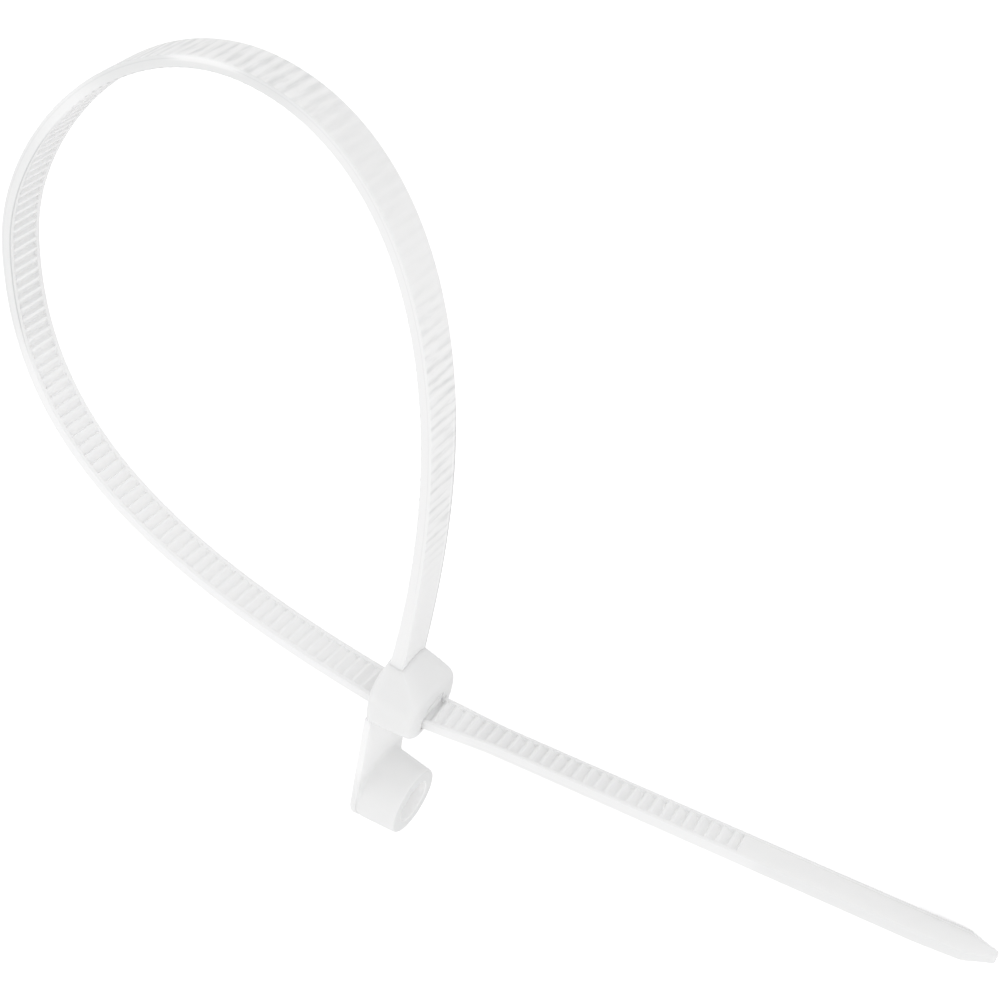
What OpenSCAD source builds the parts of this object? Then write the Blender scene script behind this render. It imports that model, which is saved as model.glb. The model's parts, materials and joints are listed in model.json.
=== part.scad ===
// Nylon cable tie with a screw eyelet, closed into a loop with its tail pulled through.
// One moulded piece: strap, ratchet teeth, locking head with pawl, neck plate and eyelet.
// X runs along the screw and along the slot, Y from the eyelet through the head to the loop.
// The origin is the centre of the eyelet's bore, halfway through its depth.

/* [Strap] */
// Width of the strap
strap_width = 4.8; // [3.6:0.1:6.5]
// Thickness of the strap over its teeth
strap_thick = 1.35; // [1.1:0.05:1.8]
// Width of the plain rail on each side of the teeth
rail_width = 0.55; // [0.35:0.05:0.8]
// Distance from one tooth to the next
tooth_pitch = 1.35; // [1:0.05:2]
// Height of a tooth above the strap's web
tooth_height = 0.5; // [0.3:0.05:0.7]
// Smooth length between the head and the first tooth
smooth_root = 14; // [8:1:25]

/* [Loop] */
// Where the strap leaves the head, across from the slot's middle
root_x = 0.6; // [0:0.1:1]
// Where the loop's curve begins, above the slot's middle
root_y = 8.4; // [7:0.1:10]
// Lean of the strap where it leaves the head, in degrees
root_lean = 3.9; // [0:0.1:8]
// How far the loop's highest point lies to the left of the slot
top_x = 25.5; // [20:0.5:32]
// How far the loop's highest point lies above the slot
top_y = 71.8; // [60:0.5:85]
// How far the loop reaches to the left of the slot
side_x = 56.7; // [48:0.5:66]
// Height of the loop's leftmost point above the slot
side_y = 37.2; // [30:0.5:44]
// Length of the curve's handle where it leaves the head
reach_root = 43.6; // [35:0.5:50]
// Length of the handle that arrives at the top
reach_top_in = 17.7; // [12:0.5:22]
// Length of the handle that leaves the top
reach_top_out = 16.2; // [12:0.5:20]
// Length of the handle that arrives at the left side
reach_side_in = 14.2; // [10:0.5:18]
// Length of the handle that leaves the left side
reach_side_out = 28.8; // [22:0.5:32]
// Length of the handle that arrives at the slot
reach_slot = 33.3; // [25:0.5:38]

/* [Tail] */
// Length of the tail, from the slot's middle to its tip
tail_length = 72.6; // [62:0.5:90]
// Toothed length of the tail
tail_toothed = 44; // [30:1:50]
// Length of the taper at the tip
tip_taper = 3.4; // [2:0.2:8]
// Length of the blunt tip's rounding
tip_round = 0.8; // [0.4:0.1:1.2]
// Width of the tip where its rounding begins
tip_width = 2.2; // [1.4:0.1:3]
// Thickness of the tip
tip_thick = 0.8; // [0.5:0.05:1]
// Length over which the tail thins towards its tip
tip_thinning = 9; // [5:0.5:14]
// Rise of the tail towards the loop, in degrees
tail_rise = 2.65; // [0:0.05:5]
// Turn of the tail towards the underside, in degrees
tail_turn = 5.9; // [0:0.1:8]
// Roll of the tail once it is clear of the head, in degrees
tail_roll = 17; // [0:1:20]
// Length over which the tail takes up its roll
roll_length = 10.8; // [8:0.2:16]

/* [Head] */
// Depth of the head along the slot
head_depth = 6.35; // [5.5:0.05:8]
// Width of the head's front face
head_width = 9.5; // [8.6:0.1:12]
// Height of the head's front face above the slot's middle
head_top = 5; // [4.4:0.1:6]
// Height of the head's front face below the slot's middle
head_base = 1.4; // [1.2:0.1:2]
// How much the head's base drops towards the back
base_draft = 0.65; // [0.2:0.05:0.9]
// Height of the shoulder that fairs the head into the strap, above the front face's top
shoulder_rise = 2.4; // [1.5:0.1:3.2]
// Radius of the head's corners
head_corner = 2.5; // [1.5:0.1:3]
// How much the head widens towards the back, on each side
head_draft = 0.3; // [0:0.05:0.5]
// How far the head's back edges are rounded off
back_round = 1.3; // [0.6:0.1:1.6]
// Gap between the strap and the walls of the slot
slot_clear = 0.15; // [0.1:0.05:0.25]
// Distance from the head's back to the middle of the slot's bend
entry_depth = 1.45; // [1.2:0.05:1.8]

/* [Pawl] */
// Width of the pawl
pawl_width = 3; // [2:0.1:3.2]
// Thickness of the pawl
pawl_thick = 0.75; // [0.5:0.05:0.9]
// Gap between the pawl and the strap's teeth, and at the pawl's sides
pawl_clear = 0.08; // [0.05:0.01:0.15]
// Height of the window over the strap in which the pawl moves
window_height = 1.4; // [1.1:0.1:1.8]
// Number of teeth on the pawl
pawl_teeth = 2; // [1:1:2]
// Distance from the slot's bend to the wall at the pawl's root
window_start = 0.2; // [0.1:0.05:0.5]
// Thinnest part of the pawl's hinge is set back this far from the strap
hinge_rise = 0.1; // [0.05:0.05:0.2]

/* [Neck and eyelet] */
// Distance from the eyelet's bore to the slot's middle
eye_drop = 16.1; // [14:0.1:20]
// Diameter of the eyelet's bore
bore_d = 5.3; // [4.2:0.1:6]
// Depth of the eyelet along its bore
eye_depth = 6.2; // [5:0.1:8]
// Outer diameter of the eyelet at its front face
eye_front_d = 8.7; // [8:0.1:11]
// Outer diameter of the eyelet at its back face
eye_back_d = 9.8; // [8.6:0.1:12]
// Thickness of the plate that joins the eyelet to the head
plate_thick = 0.9; // [0.7:0.05:1.5]
// Narrowest width of the plate, below the head
plate_waist = 8.7; // [7.5:0.1:9.5]
// How far the plate reaches into the head
plate_root = 1; // [0.6:0.1:1.3]

/* [Hidden] */
nylon = "#eff1ee";
eps = 0.01;
path_steps = 60;
chord = 2.4;
back_x = -eye_depth / 2;
front_x = back_x + head_depth;
entry_x = back_x + entry_depth;
half_thick = strap_thick / 2;
web_top = half_thick - tooth_height;
channel_width = strap_width - 2 * rail_width;
over_teeth = tooth_height;

// Points of a cubic curve from a to d with the handle points b and c.
function curve_point(a, b, c, d, t) =
    pow(1 - t, 3) * a + 3 * pow(1 - t, 2) * t * b + 3 * (1 - t) * t * t * c + pow(t, 3) * d;
function curve(a, b, c, d) =
    [for (i = [0:path_steps - 1]) curve_point(a, b, c, d, i / path_steps)];

// Centre line of the loop, from inside the head, round the loop and back to the slot.
root = [root_x, root_y];
root_way = [sin(root_lean), cos(root_lean)];
stem = root_y - head_top + half_thick;
top = [-top_x, top_y];
side = [-side_x, side_y];
slot = [0, 0];
path = concat(
    [root - stem * root_way],
    curve(root, root + reach_root * root_way, top + [reach_top_in, 0], top),
    curve(top, top - [reach_top_out, 0], side + [0, reach_side_in], side),
    curve(side, side - [0, reach_side_out], slot - [reach_slot, 0], slot),
    [slot]
);

// Distance along the centre line at each of its points.
function running(points, i = 0, so_far = [0]) =
    i + 1 == len(points) ? so_far
    : running(points, i + 1,
              concat(so_far, [so_far[i] + norm(points[i + 1] - points[i])]));
along = running(path);
loop_length = along[len(along) - 1];
table_x = [for (i = [0:len(path) - 1]) [along[i], path[i].x]];
table_y = [for (i = [0:len(path) - 1]) [along[i], path[i].y]];
function on_path(s) = [lookup(s, table_x), lookup(s, table_y)];
function way(s) =
    let (ahead = on_path(min(s + half_thick, loop_length)), behind = on_path(max(s - half_thick, 0)))
    (ahead - behind) / norm(ahead - behind);
// A point beside the centre line, on its inner side where the offset is positive.
function beside(s, offset) = on_path(s) + offset * [-way(s).y, way(s).x];

// One ratchet tooth: a steep face towards the head and a long ramp towards the tip.
tooth_form = [[0, web_top], [0.14, half_thick], [0.36, half_thick], [0.86, web_top]];
function teeth_line(first, count) =
    [for (i = [0:count - 1]) for (corner = tooth_form)
        [first + (i + corner.x) * tooth_pitch, corner.y]];

loop_teeth = floor((loop_length - stem - smooth_root) / tooth_pitch);
first_tooth = loop_length - loop_teeth * tooth_pitch;
loop_chords = ceil(loop_length / chord);
tail_teeth = floor(tail_toothed / tooth_pitch);

// Strap of the loop as a bent bar, with a channel between two rails that holds the teeth.
module loop_strap() {
    color(nylon)
    translate([entry_x, eye_drop, 0])
    difference() {
        translate([0, 0, -strap_width / 2])
        linear_extrude(strap_width)
        polygon(concat(
            [for (i = [0:loop_chords]) beside(i * loop_length / loop_chords, -half_thick)],
            [for (i = [loop_chords:-1:0]) beside(i * loop_length / loop_chords, half_thick)]
        ));
        translate([0, 0, -channel_width / 2])
        linear_extrude(channel_width)
        polygon(concat(
            [for (p = teeth_line(first_tooth, loop_teeth)) beside(p.x, p.y)],
            [beside(loop_length, web_top)],
            [for (i = [loop_teeth:-1:0])
                beside(first_tooth + i * tooth_pitch, half_thick + over_teeth)]
        ));
    }
}

// Places its children in the tail's own frame: X along the tail and Y out of its teeth.
module along_tail(roll = 0) {
    translate([entry_x, eye_drop, 0])
    rotate([0, tail_turn, 0])
    rotate([0, 0, tail_rise])
    rotate([-roll, 0, 0])
    children();
}

// A straight length of toothed strap that starts and ends between two teeth.
module toothed_bar(first, count) {
    difference() {
        translate([first, -half_thick, -strap_width / 2])
        cube([count * tooth_pitch + eps, strap_thick, strap_width]);
        translate([0, 0, -channel_width / 2])
        linear_extrude(channel_width)
        polygon(concat(
            [[first - eps, web_top]],
            teeth_line(first, count),
            [[first + count * tooth_pitch + 2 * eps, web_top],
             [first + count * tooth_pitch + 2 * eps, half_thick + over_teeth],
             [first - eps, half_thick + over_teeth]]
        ));
    }
}

// Smooth end of the tail: it thins from its outer face and narrows to a blunt tip.
module tongue() {
    start = tail_teeth * tooth_pitch;
    taper = tail_length - tip_taper;
    thinning = tail_length - tip_thinning;
    intersection() {
        translate([0, 0, -strap_width / 2])
        linear_extrude(strap_width)
        polygon([
            [start, -half_thick], [thinning, -half_thick],
            [tail_length, half_thick - tip_thick], [tail_length, half_thick],
            [start, half_thick]
        ]);
        translate([0, strap_thick, 0])
        rotate([90, 0, 0])
        linear_extrude(2 * strap_thick)
        polygon([
            [start, -strap_width / 2], [taper, -strap_width / 2],
            [tail_length - tip_round, -tip_width / 2], [tail_length, -tip_width / 4],
            [tail_length, tip_width / 4], [tail_length - tip_round, tip_width / 2],
            [taper, strap_width / 2], [start, strap_width / 2]
        ]);
    }
}

// The straight tail: level through the slot, rolled in small steps, then straight to the tip.
roll_steps = 4;
step_teeth = max(1, round(roll_length / roll_steps / tooth_pitch));
level_teeth = ceil((front_x - entry_x) / tooth_pitch);
rolled_from = level_teeth + (roll_steps - 1) * step_teeth;
module tail() {
    color(nylon) {
        along_tail()
        toothed_bar(0, level_teeth);
        for (i = [1:roll_steps - 1])
            along_tail(tail_roll * i / roll_steps)
            toothed_bar((level_teeth + (i - 1) * step_teeth) * tooth_pitch, step_teeth);
        along_tail(tail_roll) {
            toothed_bar(rolled_from * tooth_pitch, tail_teeth - rolled_from);
            tongue();
        }
    }
}

// A rounded rectangle across the slot, from y0 to y1, as a thin slice at x.
module head_slice(x, half_width, y0, y1, r) {
    translate([x, eye_drop, 0])
    rotate([90, 0, 90])
    linear_extrude(eps)
    hull()
    for (y = [y0 + r, y1 - r], z = [r - half_width, half_width - r])
        translate([y, z])
        circle(r, $fn = 40);
}

// Corner radius of the head where it has been drawn in by a length.
function drawn_in(amount) = max(head_corner - amount, head_corner / 2);

// Section of the strap at the shoulder's top, which the head's skin runs up to.
module shoulder_top() {
    rise = head_top + shoulder_rise;
    foot = root - (root_y - rise) * root_way;
    translate([entry_x + foot.x, eye_drop + foot.y, 0])
    rotate([0, 0, -root_lean])
    cube([strap_thick, eps, strap_width], center = true);
}

// Solid block of the head: drafted towards the front, rounded at the back, and faired
// into the strap above.
module head_block() {
    half = head_width / 2 + head_draft;
    base = -head_base - base_draft;
    hull() {
        head_slice(back_x, half - back_round, base, head_top - head_draft, drawn_in(back_round));
        head_slice(back_x + back_round / 3, half - back_round / 3,
                   base, head_top, drawn_in(back_round / 3));
        head_slice(back_x + back_round, half, base, head_top + head_draft, head_corner);
        head_slice(front_x - eps, half - head_draft, -head_base, head_top, head_corner);
        shoulder_top();
    }
}

// Room for the strap: a channel in line with the loop behind and with the tail in front.
channel_height = strap_thick + 2 * slot_clear;
module slot_channel(x0, x1) {
    translate([x0, -channel_height / 2, -strap_width / 2 - slot_clear])
    cube([x1 - x0, channel_height, strap_width + 2 * slot_clear]);
}

// Window over the teeth in which the pawl swings, open at the front of the head.
window_width = pawl_width + 4 * pawl_clear;
module pawl_window() {
    translate([window_start, 0, -window_width / 2])
    cube([head_depth, half_thick + window_height, window_width]);
}

// The pawl: a tongue rooted at the entry side, with teeth that sit between the strap's.
module pawl() {
    reach = (pawl_teeth + 1.5) * tooth_pitch;
    low = half_thick + pawl_clear;
    high = half_thick + window_height;
    bite = tooth_height - 2 * pawl_clear;
    along_tail()
    translate([0, 0, -pawl_width / 2])
    linear_extrude(pawl_width) {
        polygon([
            [window_start - pawl_clear * 4, high], [window_start - pawl_clear * 4, high - pawl_thick],
            [window_start + hinge_rise * 4, low + hinge_rise], [tooth_pitch, low], [reach, low],
            [reach, low + pawl_thick], [window_start + pawl_thick, high + hinge_rise]
        ]);
        for (i = [1:pawl_teeth])
            translate([i * tooth_pitch + tooth_form[3].x * tooth_pitch, 0])
            polygon([
                [-0.35 * tooth_pitch, low + eps], [0.14 * tooth_pitch - pawl_clear, low - bite],
                [0.2 * tooth_pitch - pawl_clear, low - 0.6 * bite], [0.22 * tooth_pitch, low + eps]
            ]);
    }
}

module head() {
    color(nylon)
    difference() {
        head_block();
        translate([entry_x, eye_drop, 0])
        slot_channel(-2 * entry_depth, entry_depth);
        along_tail() {
            slot_channel(0, 2 * head_depth);
            pawl_window();
        }
    }
    color(nylon)
    intersection() {
        pawl();
        translate([back_x, 0, -strap_width])
        cube([head_depth - slot_clear, 2 * eye_drop, 2 * strap_width]);
    }
}

// Thin plate along the back, from the head down to the eyelet.
module neck_plate() {
    eye_r = eye_back_d / 2;
    head_foot = eye_drop - head_base - base_draft;
    root_half = plate_waist / 2 - base_draft / 2;
    color(nylon)
    translate([back_x, 0, 0])
    rotate([90, 0, 90])
    linear_extrude(plate_thick)
    difference() {
        polygon([
            [0, -eye_r], [head_foot, -plate_waist / 2],
            [head_foot + plate_root, -root_half], [head_foot + plate_root, root_half],
            [head_foot, plate_waist / 2], [0, eye_r]
        ]);
        circle(d = bore_d, $fn = 64);
    }
}

// Mounting eyelet: a drafted boss with a plain bore for a screw.
module eyelet() {
    color(nylon)
    rotate([0, 90, 0])
    difference() {
        cylinder(h = eye_depth, d1 = eye_back_d, d2 = eye_front_d, center = true, $fn = 72);
        cylinder(h = 2 * eye_depth, d = bore_d, center = true, $fn = 64);
    }
}

module cable_tie() {
    loop_strap();
    tail();
    head();
    neck_plate();
    eyelet();
}

cable_tie();
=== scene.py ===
import json
from math import cos, pi, radians, sin

import bpy
import numpy as np
from bpy.props import FloatProperty, FloatVectorProperty, IntProperty, PointerProperty
from bpy.types import Operator, Panel, PropertyGroup
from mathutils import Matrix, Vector


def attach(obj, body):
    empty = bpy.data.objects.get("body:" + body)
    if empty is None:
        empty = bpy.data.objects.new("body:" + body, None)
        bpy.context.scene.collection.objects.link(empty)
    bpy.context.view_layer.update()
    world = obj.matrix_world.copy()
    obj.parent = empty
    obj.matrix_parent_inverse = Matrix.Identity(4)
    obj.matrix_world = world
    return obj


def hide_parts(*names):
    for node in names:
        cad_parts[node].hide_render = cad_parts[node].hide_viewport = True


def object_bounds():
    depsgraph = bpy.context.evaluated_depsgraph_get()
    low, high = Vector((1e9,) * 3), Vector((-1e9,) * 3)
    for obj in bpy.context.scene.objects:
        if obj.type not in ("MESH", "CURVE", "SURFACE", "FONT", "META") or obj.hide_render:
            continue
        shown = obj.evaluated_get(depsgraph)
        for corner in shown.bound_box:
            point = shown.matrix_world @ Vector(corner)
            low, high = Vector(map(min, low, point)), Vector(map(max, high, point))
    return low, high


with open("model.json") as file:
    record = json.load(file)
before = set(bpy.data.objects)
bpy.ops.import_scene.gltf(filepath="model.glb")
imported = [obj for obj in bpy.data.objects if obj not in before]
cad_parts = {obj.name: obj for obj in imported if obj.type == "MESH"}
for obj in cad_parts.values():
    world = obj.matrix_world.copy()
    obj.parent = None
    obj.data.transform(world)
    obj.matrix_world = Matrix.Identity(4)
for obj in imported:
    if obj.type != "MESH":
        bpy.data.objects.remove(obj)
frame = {"record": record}
CAD_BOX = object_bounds()
BORE = next(m for m in frame["record"]["mounts"] if m["name"] == "screw_hole")
NYLON = frame["record"]["materials"][0]["base_color"]
MM = 0.001

bl_info = {
    "name": "Closed Cable Tie with Screw Eyelet",
    "version": (1, 0, 0),
    "blender": (4, 5, 0),
    "location": "View3D > Sidebar > Cable Tie",
    "description": "Builds a closed nylon cable tie: toothed strap, locking head, pawl and screw eyelet",
    "category": "Add Mesh",
}


# Sizes and looks that a user would change

def length(name, description, millimetres):
    """A length property whose default is given in millimetres."""
    return FloatProperty(name=name, description=description, default=millimetres * MM,
                         unit="LENGTH", precision=5)


def angle(name, description, degrees):
    """An angle property whose default is given in degrees."""
    return FloatProperty(name=name, description=description, default=radians(degrees),
                         unit="ROTATION")


def factor(name, description, value):
    """A plain number: a share of another size, or how strong a mark is."""
    return FloatProperty(name=name, description=description, default=value, subtype="FACTOR")


def point(name, description, place):
    """A place in the scene as a property, in metres."""
    return FloatVectorProperty(name=name, description=description, default=place,
                               subtype="TRANSLATION")


class StrapSizes(PropertyGroup):
    width: length("Width", "Width of the strap", 4.8)
    thick: length("Thickness", "Thickness of the strap over its teeth", 1.35)
    rail: length("Rail", "Width of the plain rail on each side of the teeth", 0.55)
    pitch: length("Tooth pitch", "Distance from one tooth to the next", 1.35)
    tooth: length("Tooth height", "Height of a tooth above the strap's web", 0.5)
    smooth_root: length("Smooth root", "Plain length between the head and the first tooth", 14)
    edge: length("Edge radius", "Rounding of the strap's long edges", 0.16)
    lip_drop: length("Lip drop", "Height of the small chamfer at a rail's inner edge", 0.04)
    lip_run: length("Lip run", "Width of the small chamfer at a rail's inner edge", 0.05)
    wall_lean: length("Wall lean", "How far the channel narrows towards its floor", 0.12)
    swell: length("Root swell", "Extra thickness of the strap where it leaves the head", 0.7)
    swell_run: length("Swell run", "Length over which the swell falls to a third", 9)


class LoopSizes(PropertyGroup):
    root_x: length("Root across", "Where the strap leaves the head, across from the slot", 0.6)
    root_y: length("Root height", "Where the loop's curve begins, above the slot", 8.4)
    root_lean: angle("Root lean", "Lean of the strap where it leaves the head", 3.9)
    root_sink: length("Root sink", "How far the strap is sunk into the head's top", 1)
    top_x: length("Top across", "How far the loop's top lies to the left of the slot", 25.5)
    top_y: length("Top height", "How far the loop's top lies above the slot", 71.8)
    side_x: length("Side across", "How far the loop reaches to the left of the slot", 56.7)
    side_y: length("Side height", "Height of the loop's leftmost point above the slot", 37.2)
    reach_root: length("Reach at root", "Handle of the curve where it leaves the head", 43.6)
    reach_top_in: length("Reach into top", "Handle that arrives at the top", 17.7)
    reach_top_out: length("Reach out of top", "Handle that leaves the top", 16.2)
    reach_side_in: length("Reach into side", "Handle that arrives at the left side", 14.2)
    reach_side_out: length("Reach out of side", "Handle that leaves the left side", 28.8)
    reach_slot: length("Reach at slot", "Handle that arrives at the slot", 33.3)


class TailSizes(PropertyGroup):
    length: length("Length", "Length of the tail, from the slot's middle to its tip", 72.6)
    toothed: length("Toothed length", "Length of the tail's toothed part", 44)
    tip_taper: length("Tip taper", "Length over which the tip narrows", 3.4)
    tip_round: length("Tip rounding", "Length of the blunt tip's rounding", 0.8)
    tip_width: length("Tip width", "Width of the tip where its rounding begins", 2.2)
    tip_thick: length("Tip thickness", "Thickness at the tip", 0.8)
    tip_blunt: factor("Tip bluntness", "Share of the tip's width that its very end keeps", 0.3)
    thinning: length("Thinning", "Length over which the tail thins towards its tip", 9)
    thinning_power: factor("Thinning power", "Above 1 the thinning sets in slowly", 1.3)
    bend: length("Bend", "Half the length over which the tail takes up its rise and turn", 2.5)
    rise: angle("Rise", "Rise of the tail towards the loop", 2.65)
    turn: angle("Turn", "Turn of the tail towards the underside", 5.9)
    roll: angle("Roll", "Roll of the tail once it is clear of the head", 17)
    roll_start: length("Roll start", "Where the tail begins to roll, from the slot's middle", 4.5)
    roll_length: length("Roll length", "Length over which the tail takes up its roll", 9.5)


class HeadSizes(PropertyGroup):
    depth: length("Depth", "Depth of the head along the slot", 6.35)
    width: length("Width", "Width of the head's front face", 9.5)
    top: length("Top", "Height of the head's front face above the slot", 5)
    base: length("Base", "Height of the head's front face below the slot", 1.4)
    draft: length("Draft", "How much the head widens towards the back, on each side", 0.3)
    base_draft: length("Base draft", "How much the base drops towards the back", 0.65)
    corner: length("Corner radius", "Radius of the head's corners", 2.5)
    shoulder: length("Shoulder", "Height of the shoulder that fairs the head into the strap", 2.4)
    crown: length("Crown", "How much higher the shoulder is in the middle", 0.7)
    back_round: length("Back rounding", "How far the back edges are rounded off", 1.3)
    front_round: length("Front rounding", "How far the front edges are rounded off", 0.8)
    base_round: factor("Base rounding", "Share of the edge rounding that the base takes", 0.3)
    corner_round: factor("Corner rounding", "Share of it that comes off the corners", 0.5)
    entry_depth: length("Entry depth", "Distance from the head's back to the slot's middle", 1.45)
    slot_gap: length("Slot gap", "Gap between the strap and the walls of the slot", 0.15)
    entry_flare: length("Entry flare", "Flare of the slot at the head's back", 0.2)
    window_width: length("Window width", "Width of the window over the strap", 3.32)
    window_height: length("Window height", "Height of the window over the strap", 1.4)
    window_depth: length("Window depth", "How far the window reaches in from the front", 4.7)
    window_edge: length("Window edge", "Chamfer round the window at the front", 0.12)


class PawlSizes(PropertyGroup):
    width: length("Width", "Width of the pawl", 3)
    thick: length("Thickness", "Thickness of the pawl", 0.75)
    gap: length("Gap", "Gap between the pawl and the strap's teeth", 0.08)
    edge: length("Edge", "Chamfer along the pawl's sides", 0.08)
    hinge: length("Hinge", "Length of the thin hinge at the pawl's root", 0.6)
    hinge_rise: length("Hinge rise", "How far the hinge stands off the pawl's underside", 0.1)
    foot: length("Foot", "Length of the root that rises to the window's ceiling", 1.2)
    nose: length("Nose", "Length of the nose's sloping underside", 0.6)
    slit: length("Slit", "Height of the dark slit under the pawl's nose", 0.1)
    recess: length("Recess", "How far the pawl's nose stands back from the head's front", 0.03)
    teeth: IntProperty(name="Teeth", description="Number of teeth on the pawl", default=2, min=1)


class EyeletSizes(PropertyGroup):
    drop: length("Drop", "Distance from the eyelet's bore to the slot's middle", 16.1)
    depth: length("Depth", "Depth of the eyelet along its bore", 6.2)
    bore: length("Bore radius", "Radius of the bore", BORE["dims"]["r_mm"])
    front: length("Front radius", "Outer radius at the front face", 4.35)
    back: length("Back radius", "Outer radius at the back face", 4.9)
    plate: length("Plate thickness", "Thickness of the neck plate", 0.9)
    plate_edge: length("Plate edge", "Rounding of the plate's front edge", 0.15)
    plate_sink: length("Plate sink", "How far the plate is sunk into the head", 0.4)
    waist: length("Plate waist", "Half width of the plate where it meets the head", 4.35)
    fillet: length("Fillet", "Radius between the plate and the eyelet", 0.5)
    edge: length("Edge radius", "Rounding of the eyelet's edges", 0.3)
    lip: length("Bore lip", "Chamfer at both ends of the bore", 0.15)


class NylonLook(PropertyGroup):
    tint: FloatVectorProperty(name="Tint", description="Colour of the nylon", subtype="COLOR",
                              size=4, default=(NYLON[0], NYLON[0], NYLON[0], 1))
    rough: factor("Roughness", "Roughness of the moulded skin", 0.36)
    rough_spread: factor("Roughness spread", "How much the roughness varies", 0.1)
    haze: factor("Haze", "Share of light scattered inside the nylon", 0.5)
    haze_depth: length("Haze depth", "How far light travels inside the nylon", 0.9)
    grain: factor("Grain", "Strength of the moulded grain", 0.12)
    grain_depth: length("Grain depth", "Depth of the moulded grain", 0.05)
    # Strengths of the painted light and shade on the strap: painted streaks on the smooth face, painted
    # highlights on the tooth crests, and painted shade along the parting line, bevel and rim
    streak_dark: factor("Dark streaks", "How dark the streaks of the smooth face are", 0.6)
    streak_pale: factor("Pale streaks", "How pale the gaps between the streaks are", 0.8)
    crest: factor("Crests", "How pale the crests of the teeth are", 0.4)
    crisp_crest: factor("Crisp crests", "How much paler they are where edges are crisp", 0.5)
    parting: factor("Parting line", "How dark the parting line on the strap's side is", 0.2)
    bevel: factor("Bevel", "How dark the bevel along the tongue is", 0.3)
    rim: factor("Rim", "How dark the strap's far edge is next to its root", 1.6)


class StageLook(PropertyGroup):
    eye: point("Camera place", "Where the camera stands", (0.06249, 0.17504, 0.12603))
    turn: FloatVectorProperty(name="Camera turn", description="How the camera is turned",
                              subtype="EULER",
                              default=(radians(-36.92), radians(31.36), radians(10.10)))
    lens: FloatProperty(name="Lens", description="Focal length in millimetres", default=64.82)
    sensor: FloatProperty(name="Sensor", description="Sensor width in millimetres", default=36)
    near: length("Near limit", "Nearest distance that the camera sees", 10)
    aim: point("Aim", "The point that both lights face", (0, 0.045, 0))
    sky: factor("Sky", "Strength of the plain surround", 0.93)
    key: FloatProperty(name="Key light", description="Power of the soft main light in watts",
                       default=0.035)
    key_place: point("Key place", "Where the main light hangs", (-0.179, -0.062, 0.213))
    key_size: length("Key size", "Side of the main light's square", 60)
    fill: FloatProperty(name="Fill light", description="Power of the fill light in watts",
                        default=0.1)
    fill_place: point("Fill place", "Where the fill light hangs", (0.50, 0.15, 0.15))
    fill_size: length("Fill size", "Side of the fill light's square", 300)
    floor: length("Floor", "Half the side of the square floor", 1500)
    floor_grey: factor("Floor shade", "How pale the floor is", 0.9)
    floor_glow: factor("Floor glow", "Light that the floor adds where the camera sees it", 0.35)


# How finely the surfaces are divided
LOOP_SAMPLES = (400, 300, 400)
LINE_SAMPLES = 2400
TAIL_SAMPLES = 900
ROOT_STEPS = 30
TONGUE_STEPS = 40
TIP_STEPS = 24
CORNER_STEPS = 4
HEAD_SIDES = 192
HEAD_STEPS = 8
BACK_STEPS = 10
FRONT_STEPS = 9
MOUTH_STEPS = 4
WINDOW_STEPS = 6
PLATE_SIDES = 160
PLATE_TOP = 15
EDGE_STEPS = 6
PLATE_STEPS = 4
FILLET_STEPS = 7
BORE_STEPS = 6
# The shortest step between two rings, how far apart two radii still count as equal, and the
# least sine or cosine that a length is divided by
HAIR = 0.01 * MM
NEARLY = 1.001
TINY = 1e-6


# Curves and meshes

def ease(low, high, x):
    """Smooth step from 0 at low to 1 at high: 3t^2 - 2t^3 with t the share of the way."""
    t = np.clip((x - low) / (high - low), 0, 1)
    return t * t * (3 - 2 * t)


def cubic(a, b, c, d, count):
    """Cubic curve: (1-t)^3 a + 3(1-t)^2 t b + 3(1-t)t^2 c + t^3 d at even steps of t."""
    t = np.linspace(0, 1, count, endpoint=False)[:, None]
    return (1 - t) ** 3 * a + 3 * (1 - t) ** 2 * t * b + 3 * (1 - t) * t ** 2 * c + t ** 3 * d


def quarter(count):
    """Even angles over a quarter turn, for a rounded edge."""
    return np.linspace(0, pi / 2, count)


def shares(count):
    """Even shares of a way, from a tenth to the whole."""
    return np.linspace(0.1, 1, count)


def unit(vectors):
    """Each row divided by its length."""
    return vectors / np.linalg.norm(vectors, axis=-1, keepdims=True)


def grid_faces(rows, columns, closed):
    """Corner numbers of every quad of a grid whose rows are rings. A closed grid's last ring
    joins its first."""
    i = np.arange(rows if closed else rows - 1)[:, None]
    j = np.arange(columns)[None, :]
    here, below = i * columns, (i + 1) % rows * columns
    right = (j + 1) % columns
    return np.stack([here + j, here + right, below + right, below + j], -1).reshape(-1, 4)


def volume(points, faces):
    """Six times the volume inside quads: the sum of corner products over their triangles."""
    a, b, c, d = (points[faces[:, k]] for k in range(4))
    return (np.cross(a, b) * c).sum() + (np.cross(a, c) * d).sum()


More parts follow.
